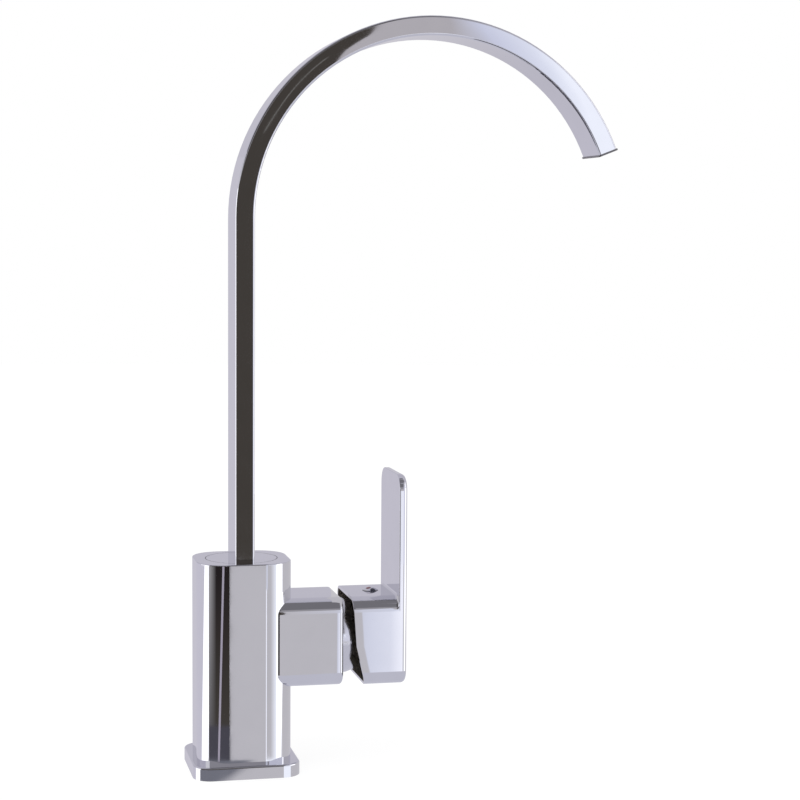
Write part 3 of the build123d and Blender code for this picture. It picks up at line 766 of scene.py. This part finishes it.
# %% Chrome for the valve housing
housing_start = 0.0152
housing_end = 0.0468
housing_chrome = chrome_finish("housing_chrome", *cast_wave, 0.015, 0.035)
tree, shader, place = open_finish(housing_chrome)
x = split_place(tree, place)[0]
add_roll(tree, shader, before_end(tree, x, housing_end), 0.0024, 1.4)
add_roll(tree, shader, join_math(tree, "SUBTRACT", x, housing_start), 0.0014, 2.2)
print("housing finish nodes", len(tree.nodes))

# %% [markdown]
# ## The rolled edges of the lever
# The lever's mouth is cut aslant, so the distance to its rim is measured from two straight
# lines in the side view, each given by its two ends. The larger of the two answers is the
# rim at that height. The far edge, by the blade, is plain upright.

# %% The lever's rim
def edge_line(tree, x, z, start, stop):
    """The x of a straight edge from start to stop, both (x, z), at this height."""
    lean = (stop[0] - start[0]) / (stop[1] - start[1])
    rise = join_math(tree, "MULTIPLY", join_math(tree, "SUBTRACT", z, start[1]), lean)
    return join_math(tree, "ADD", rise, start[0])


rim_top = (0.0527, 0.0871)
rim_bend = (0.0544, 0.0629)
rim_foot = (0.0592, 0.0427)
lever_end = 0.0780
lever_chrome = chrome_finish("lever_chrome", *cast_wave, 0.015, 0.035)
tree, shader, place = open_finish(lever_chrome)
x, y, z = split_place(tree, place)
high_rim = edge_line(tree, x, z, rim_top, rim_bend)
low_rim = edge_line(tree, x, z, rim_bend, rim_foot)
rim = join_math(tree, "MAXIMUM", high_rim, low_rim)
add_roll(tree, shader, join_math(tree, "SUBTRACT", x, rim), 0.0042, 1.5)
add_roll(tree, shader, before_end(tree, x, lever_end), 0.0065, 0.6)
print("lever finish nodes", len(tree.nodes))

# %% [markdown]
# ## The raw inside of a casting
# Plating doesn't reach into the mouth of the lever block: there the casting keeps its dark,
# grainy skin. The same solid therefore carries two finishes. They are mixed by place: a
# box mask on Object coordinates is 1 inside the hollow of the block and 0 outside, and a
# diamond, seen from the mouth, takes the block's rounded corners out of the box.

# %% A box mask, and one shader above another
mask_edge = 0.0002


def inside_box(tree, place, low, high):
    """1 inside the box from low to high, in metres, and 0 outside, with a soft edge."""
    answer = None
    for value, lowest, highest in zip(split_place(tree, place), low, high):
        for limit, soft in ((lowest, mask_edge / 2), (highest, -mask_edge / 2)):
            step = to_range(tree, value, 0, 1, limit - soft, limit + soft)
            answer = step if answer is None else join_math(tree, "MULTIPLY", answer, step)
    return answer


def over(tree, mask, below, above):
    """A second shader above a first one where the mask is 1."""
    mix = tree.nodes.new("ShaderNodeMixShader")
    tree.links.new(mask, mix.inputs[0])
    tree.links.new(below.outputs["BSDF"], mix.inputs[1])
    tree.links.new(above.outputs["BSDF"], mix.inputs[2])
    end = next(n for n in tree.nodes if n.type == "OUTPUT_MATERIAL")
    tree.links.new(mix.outputs[0], end.inputs["Surface"])


# %% Raw casting inside the lever block
valve_height = 0.0649
hollow_low = (0.040, -0.0206, 0.0443)
hollow_high = (0.0677, 0.0206, 0.0855)
hollow_diamond = 0.0388
skin = tree.nodes.new("ShaderNodeBsdfPrincipled")
skin.inputs["Metallic"].default_value = 0.2
skin.inputs["Roughness"].default_value = 0.6
grain = add_noise(tree, place, 0.0012, 4.0)
two_tones(tree, skin, grain, (0.14, 0.125, 0.10), (0.34, 0.30, 0.24), 0.35, 0.65)
add_bump(tree, skin, grain, 0.00008)
hollow = inside_box(tree, place, hollow_low, hollow_high)
sideways = join_math(tree, "ABSOLUTE", y)
upward = join_math(tree, "ABSOLUTE", join_math(tree, "SUBTRACT", z, valve_height))
off_axis = join_math(tree, "ADD", sideways, upward)
in_diamond = join_math(tree, "LESS_THAN", off_axis, hollow_diamond)
over(tree, join_math(tree, "MULTIPLY", hollow, in_diamond), shader, skin)
print("lever finish nodes", len(tree.nodes))

# %% [markdown]
# ## Bare brass
# The body's underside and its holes are machined after plating, so they show bare brass,
# and so do the turned foot of the spout and the slotted ring that holds the cartridge
# down. A lathe leaves fine rings round the axis and a drill the same inside a hole: the
# rings are a wave pattern, a few hundredths of a millimetre deep, in the bump only.

# %% Turned metal
wave_at_one = 0.314


def bands(tree, place, axis, pitch):
    """Waves along an axis, one every pitch metres: at Scale 1 a wave is 0.314 m long."""
    wave = tree.nodes.new("ShaderNodeTexWave")
    wave.bands_direction = axis
    wave.inputs["Scale"].default_value = wave_at_one / pitch
    tree.links.new(place, wave.inputs["Vector"])
    return wave


def turned(name, axis, dark, light, rough, pitch):
    """Metal with turning lines round the given axis."""
    material, tree, shader, place = new_finish(name)
    shader.inputs["Metallic"].default_value = 1.0
    rings = bands(tree, place, axis, pitch)
    rings.inputs["Distortion"].default_value = 0.4
    rings.inputs["Detail"].default_value = 1.0
    stain = add_noise(tree, place, 0.006, 3.0)
    two_tones(tree, shader, stain, dark, light)
    roughness = to_range(tree, stain, rough - 0.06, rough + 0.08)
    tree.links.new(roughness, shader.inputs["Roughness"])
    add_bump(tree, shader, rings.outputs["Fac"], 0.00003)
    return material


brass_tones = ((0.50, 0.33, 0.12), (0.72, 0.52, 0.22))
brass = turned("turned_brass", "Z", *brass_tones, 0.28, 0.0004)
brass_across = turned("turned_brass_ring", "X", *brass_tones, 0.28, 0.0004)
print("brass", brass.name, brass_across.name)

# %% [markdown]
# ## The body: chrome outside, brass inside
# The body is one casting, so it carries two finishes too. Brass shows where a point is
# near the upright axis and below the top: that takes in the underside and the holes there,
# and leaves out the outer walls. Real threads would need a great many faces, so they are a
# bump of three-cornered waves, one each millimetre.

# %% The body's two finishes
bare_radius = 0.0205
bare_height = 0.1035
thread_pitch = 0.001
body_chrome = chrome_finish("body_chrome", 0.06, 0.00002, 0.012, 0.03)
tree, shader, place = open_finish(body_chrome)
bare = tree.nodes.new("ShaderNodeBsdfPrincipled")
bare.inputs["Metallic"].default_value = 1.0
bare.inputs["Roughness"].default_value = 0.32
two_tones(tree, bare, add_noise(tree, place, 0.006, 3.0), *brass_tones)
thread = bands(tree, place, "Z", thread_pitch)
thread.wave_profile = "TRI"
add_bump(tree, bare, thread.outputs["Fac"], 0.0003)
x, y, z = split_place(tree, place)
near_axis = join_math(tree, "LESS_THAN", diagonal(tree, x, y), bare_radius)
below_top = join_math(tree, "LESS_THAN", z, bare_height)
over(tree, join_math(tree, "MULTIPLY", near_axis, below_top), shader, bare)
print("body finish nodes", len(tree.nodes))

# %% [markdown]
# ## Steel
# The screws, the pivot pin and the valve's square spindle are stainless steel, turned or
# ground: greyer and rougher than chrome. They are made like the brass, each with its lines
# round its own axis.

# %% Turned steel
steel_tones = ((0.40, 0.39, 0.38), (0.56, 0.55, 0.54))
steel_upright = turned("steel_screw", "Z", *steel_tones, 0.30, 0.0005)
steel_across = turned("steel_spindle", "X", *steel_tones, 0.24, 0.0003)
steel_pin = turned("steel_pin", "Y", *steel_tones, 0.20, 0.0003)
print("steel", steel_upright.name, steel_across.name, steel_pin.name)

# %% [markdown]
# ## Moulded plastic, ceramic and rubber
# The cartridge is moulded from acetal: white for the fixed pieces, grey for the moving
# ones. Moulded plastic has a satin skin with a very fine grain, and light goes a little
# way into it. The two discs are polished alumina, nearly white and very smooth. The seals
# are black rubber, matt, with a faint bloom of grease.

# %% A moulded skin
cloud_size = 0.004


def moulded(name, dark, light, rough, grain_size, grain_depth):
    """A satin skin with fine grain, clouded from dark to light."""
    material, tree, shader, place = new_finish(name)
    grain = add_noise(tree, place, grain_size, 3.0)
    two_tones(tree, shader, add_noise(tree, place, cloud_size, 2.0), dark, light)
    roughness = to_range(tree, grain, rough - 0.05, rough + 0.05)
    tree.links.new(roughness, shader.inputs["Roughness"])
    add_bump(tree, shader, grain, grain_depth)
    return material


# %% Plastics, ceramic and rubber
grain_size = 0.0004
fine_grain = 0.0003
white_acetal = moulded(
    "white_acetal", (0.74, 0.74, 0.71), (0.80, 0.80, 0.77), 0.38, grain_size, 0.00001,
)
shader = open_finish(white_acetal)[1]
shader.inputs["Subsurface Weight"].default_value = 0.1
shader.inputs["Subsurface Radius"].default_value = (0.001, 0.001, 0.0008)
grey_acetal = moulded(
    "grey_acetal", (0.17, 0.175, 0.18), (0.22, 0.225, 0.23), 0.36, grain_size, 0.00001,
)
clear_tube = moulded(
    "food_tube", (0.60, 0.66, 0.70), (0.68, 0.73, 0.76), 0.30, 0.002, 0.00001,
)
alumina = moulded(
    "alumina", (0.83, 0.82, 0.79), (0.87, 0.86, 0.83), 0.10, fine_grain, 0.000002,
)
black_rubber = moulded(
    "black_rubber", (0.012, 0.012, 0.012), (0.03, 0.03, 0.028), 0.62, fine_grain, 0.00002,
)
for finish in (white_acetal, grey_acetal, clear_tube, alumina, black_rubber):
    print("moulded", finish.name)

# %% [markdown]
# ## The index plug
# The domed button over the lever's screw tells hot from cold. It is a bright dome with a
# red enamel spot towards the hot side and a blue one towards the cold side, all under one
# glossy skin. A thin near black line is painted round its edge: painted shade, standing in
# for the dark crease where the dome meets the lever. All are mixed in by place: the
# distance from the middle of a spot, measured flat, is small inside it and large outside.

# %% A flat round spot
def flat_spot(tree, place, middle, reach):
    """1 nearer than reach to the middle, seen from above, and 0 further out."""
    flatten = tree.nodes.new("ShaderNodeMapping")
    flatten.inputs["Location"].default_value = (-middle[0], -middle[1], 0)
    flatten.inputs["Scale"].default_value = (1, 1, 0)
    tree.links.new(place, flatten.inputs["Vector"])
    length = tree.nodes.new("ShaderNodeVectorMath")
    length.operation = "LENGTH"
    tree.links.new(flatten.outputs["Vector"], length.inputs[0])
    return to_range(tree, length.outputs["Value"], 1, 0, reach - mask_edge, reach + mask_edge)


# %% Red and blue spots on a bright dome, and a painted shade line round it
# This near black blue colours the blue spot, and also the painted shade line round the dome's
# edge.
blue_enamel_and_edge_shade = (0.012, 0.013, 0.028)
enamel_red = (0.11, 0.006, 0.008)
index_finish = chrome_finish("index_button", 0.004, 0.000004, 0.04, 0.08)
tree, shader, place = open_finish(index_finish)
enamel_and_edge_shade = tree.nodes.new("ShaderNodeBsdfPrincipled")
enamel_and_edge_shade.inputs["Roughness"].default_value = 0.2
enamel_and_edge_shade.inputs["Coat Weight"].default_value = 0.4
red_spot = flat_spot(tree, place, (0.0646, -0.0009), 0.0013)
blue_spot = flat_spot(tree, place, (0.0665, -0.0035), 0.0015)
whole_top = flat_spot(tree, place, (0.0657, 0.0), 0.0038)
# Outside the dome's top the plug is painted near black: painted shade for the crease where
# the dome meets the lever.
painted_edge_shade = join_math(tree, "ABSOLUTE", join_math(tree, "SUBTRACT", whole_top, 1.0))
two_tones(tree, enamel_and_edge_shade, red_spot, blue_enamel_and_edge_shade, enamel_red, 0.45, 0.55)
spots = join_math(tree, "MAXIMUM", red_spot, blue_spot)
over(tree, join_math(tree, "MAXIMUM", spots, painted_edge_shade), shader, enamel_and_edge_shade)
print("index button nodes", len(tree.nodes))

# %% [markdown]
# ## The hollow corner between block and blade
# The lever is one casting, and a casting has no sharp inner corners: where the block meets
# the upright blade, a small hollow fillet joins them. It follows the block's top and its
# two rounded long edges and runs out at the lever's sides, where it catches a bright V.
# It is drawn as by hand: a small three-cornered outline with one hollow side is swept
# down, along and up again. Spin turns it round each rounded edge, and an extrusion carries
# it across the flat top. The fillet belongs to the lever and turns with it.

# %% The outline of the fillet
fillet_size = 0.0013
blade_face = 0.0759
sink = 0.0002
arc_steps = 10
outline = []
for step in range(arc_steps + 1):
    turn = math.radians(90 / arc_steps * step)
    outline.append((
        blade_face - fillet_size * (1 - math.cos(turn)),
        fillet_size * (1 - math.sin(turn)),
    ))
outline += [
    (outline[-1][0], -sink),
    (blade_face + sink, -sink),
    (blade_face + sink, fillet_size),
]
print("outline from", outline[0], "to", outline[-1])

# %% Stand the outline up beside the block
block_half = 0.0222
block_round = 0.0070
start_side = -(block_half - block_round)
edge_height = valve_height + block_half - block_round
bpy.ops.object.select_all(action="DESELECT")
bpy.ops.mesh.primitive_circle_add(
    vertices=len(outline), radius=fillet_size, fill_type="NGON",
)
fillet = bpy.context.active_object
fillet.name = "blade_fillet"
for corner, (x, off_block) in zip(fillet.data.vertices, outline):
    corner.co = (x, start_side - block_round - off_block, edge_height)
print("outline corners", len(fillet.data.vertices))

# %% Sweep it round the first edge, across the top and round the second edge
spin_steps = 16
quarter = math.radians(90)
bpy.ops.object.mode_set(mode="EDIT")
bpy.ops.mesh.select_all(action="SELECT")
bpy.ops.mesh.spin(
    steps=spin_steps, angle=quarter, center=(0, start_side, edge_height), axis=(1, 0, 0),
)
bpy.ops.mesh.extrude_region_move(
    TRANSFORM_OT_translate={"value": (0, -2 * start_side, 0)},
)
bpy.ops.mesh.spin(
    steps=spin_steps, angle=quarter, center=(0, -start_side, edge_height), axis=(1, 0, 0),
)
bpy.ops.mesh.select_all(action="SELECT")
bpy.ops.mesh.normals_make_consistent(inside=False)
bpy.ops.object.mode_set(mode="OBJECT")
reach = [max(c.co[axis] for c in fillet.data.vertices) for axis in range(3)]
print("fillet reaches", [round(v, 4) for v in reach])

# %% [markdown]
# ## Trim the fillet
# The sweep ends square, and its ends would stand out a little at the lever's sides. Moving
# single corners would bend the hollow side, so a Boolean keeps only what lies inside a bar
# that is just narrower than the lever.

# %% Cut it with a bar as wide as the lever
bar_size = (0.01, 2 * block_half - 0.0001, 0.03)
bpy.ops.object.select_all(action="DESELECT")
bpy.ops.mesh.primitive_cube_add(
    size=1, location=(blade_face, 0, valve_height + block_half), scale=bar_size,
)
bar = bpy.context.active_object
bpy.ops.object.transform_apply(location=True, rotation=True, scale=True)
bpy.ops.object.select_all(action="DESELECT")
bpy.context.view_layer.objects.active = fillet
fillet.select_set(True)
cut = fillet.modifiers.new("cut", "BOOLEAN")
cut.operation = "INTERSECT"
cut.object = bar
bpy.ops.object.modifier_apply(modifier=cut.name)
bpy.data.objects.remove(bar)
print("fillet faces", len(fillet.data.polygons))

# %% Finish the fillet
bpy.ops.object.shade_smooth_by_angle(angle=math.radians(30))
fillet.data.materials.clear()
fillet.data.materials.append(cast_chrome)
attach(fillet, "lever")
reach = [max(abs(c.co[axis]) for c in fillet.data.vertices) for axis in range(3)]
print("fillet reaches", [round(v, 4) for v in reach])

# %% [markdown]
# ## Give each piece its finish
# One table says which finish each node of the frame gets. The loop also checks that no
# node is left out.

# %% The table of finishes
finishes = {
    "base_plate": cast_chrome,
    "base_seal": black_rubber,
    "body": body_chrome,
    "spout_screw": steel_upright,
    "cartridge_housing": housing_chrome,
    "cartridge_base": white_acetal,
    "port_seals": black_rubber,
    "fixed_disc": alumina,
    "cartridge_body": white_acetal,
    "cartridge_nut": brass_across,
    "cartridge_dome": satin_chrome,
    "cartridge_rotor": grey_acetal,
    "pivot_pin": steel_pin,
    "spindle": steel_across,
    "disc_driver": grey_acetal,
    "moving_disc": alumina,
    "lever_handle": lever_chrome,
    "lever_screw": steel_upright,
    "index_plug": index_finish,
    "spout_tube": tube_chrome,
    "spout_collar": thin_chrome,
    "swivel_nipple": brass,
    "swivel_o_rings": black_rubber,
    "centre_o_ring": black_rubber,
    "slide_ring": white_acetal,
    "filtered_water_tube": clear_tube,
    "outlet_insert": grey_acetal,
    "filtered_nozzle": white_acetal,
    "outlet_rim": dark_nickel,
}
for name, finish in finishes.items():
    node = nodes[name]
    for number in range(len(node.data.materials)):
        node.data.materials[number] = finish
    if not node.data.materials:
        node.data.materials.append(finish)
print("nodes left without a finish:", sorted(set(nodes) - set(finishes)))
